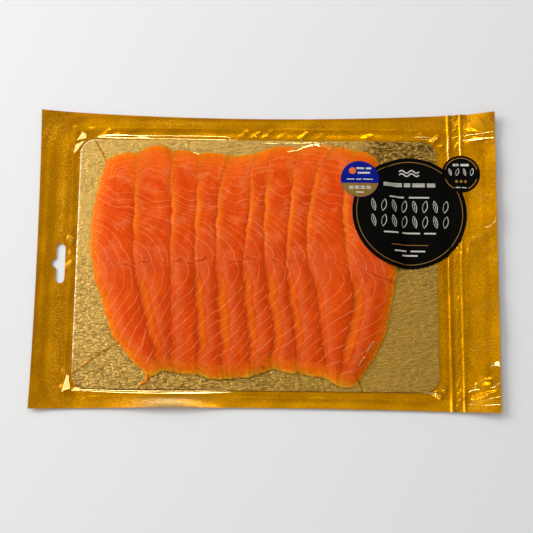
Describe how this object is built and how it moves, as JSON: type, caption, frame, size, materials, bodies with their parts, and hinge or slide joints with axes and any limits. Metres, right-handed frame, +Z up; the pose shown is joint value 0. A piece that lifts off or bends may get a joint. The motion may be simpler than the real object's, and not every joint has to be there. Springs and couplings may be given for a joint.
{
  "type": "vacuum pack of sliced smoked salmon",
  "caption": "Flat vacuum pack of overlapping smoked salmon slices on a gold card, with a gold back film, a clear front film, round labels and a hanging slot.",
  "frame": {"origin": "centre of the pouch's outline, on the surface that the pack lies on", "axes": "+X along the pack's length, away from the hanging slot, +Y towards the top of the label, +Z up out of the clear front"},
  "size_m": [0.3, 0.2, 0.0101],
  "materials": {
    "gold_film": "semi-gloss metallised laminate",
    "gold_card": "satin embossed foil",
    "salmon": "moist, slightly translucent",
    "clear_film": "clear and glossy",
    "label_black": "semi-matte print",
    "sticker_blue": "glossy print"
  },
  "bodies": {
    "root": {"back_film": "gold_film", "card": "gold_card", "slice_01": "salmon", "slice_02": "salmon", "slice_03": "salmon", "slice_04": "salmon", "slice_05": "salmon", "slice_06": "salmon", "slice_07": "salmon", "slice_08": "salmon", "slice_09": "salmon", "slice_10": "salmon", "front_film": "clear_film", "main_label": "label_black", "left_sticker": "sticker_blue", "right_sticker": "label_black"}
  },
  "joints": []
}
